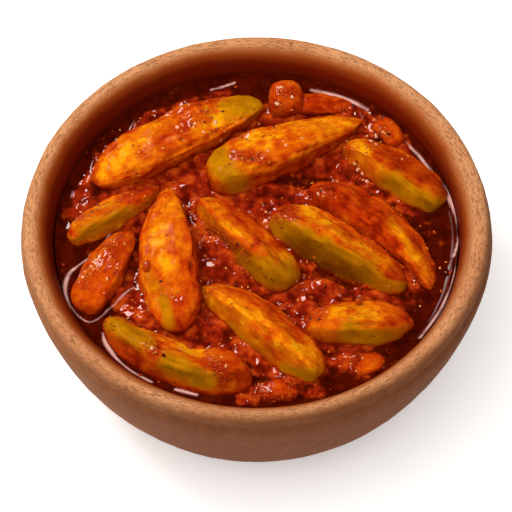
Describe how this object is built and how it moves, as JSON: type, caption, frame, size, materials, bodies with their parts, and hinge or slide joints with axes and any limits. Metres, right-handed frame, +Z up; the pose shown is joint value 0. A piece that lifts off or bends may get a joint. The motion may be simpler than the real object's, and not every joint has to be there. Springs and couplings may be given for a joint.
{
  "type": "bowl of mango pickle",
  "caption": "Round terracotta bowl with a rounded lip, filled with long mango wedges half sunk in thick, oily red masala.",
  "frame": {"origin": "centre of the bowl's foot, on the surface it stands on", "axes": "+Z up, the bowl's turning axis; -Y is the side towards the picture's camera"},
  "size_m": [0.1398, 0.1398, 0.054],
  "materials": {
    "terracotta": "unglazed terracotta clay, matt, finely pitted and streaked, with the pickle's oil soaked into its inside",
    "masala": "thick dark red masala with coarse grains, wet with red oil",
    "mango": "soft mango flesh, yellow to green-yellow under an orange and red oily coat, wet gloss",
    "mango_red": "soft mango flesh all coated in red masala, wet gloss"
  },
  "bodies": {
    "root": {"bowl": "terracotta", "gravy": "masala", "mango_back_left": "mango", "mango_back_top": "mango", "mango_right_upper": "mango", "mango_right_long": "mango", "mango_right_middle": "mango", "mango_centre": "mango", "mango_front_middle": "mango", "mango_left_upright": "mango", "mango_left_red": "mango_red", "mango_left_slim": "mango", "mango_front_curved": "mango", "mango_front_right": "mango", "mango_sunk_right": "mango_red", "mango_sunk_front": "mango_red", "mango_chunk_right": "mango_red", "mango_back_chunk": "mango_red"}
  },
  "joints": []
}
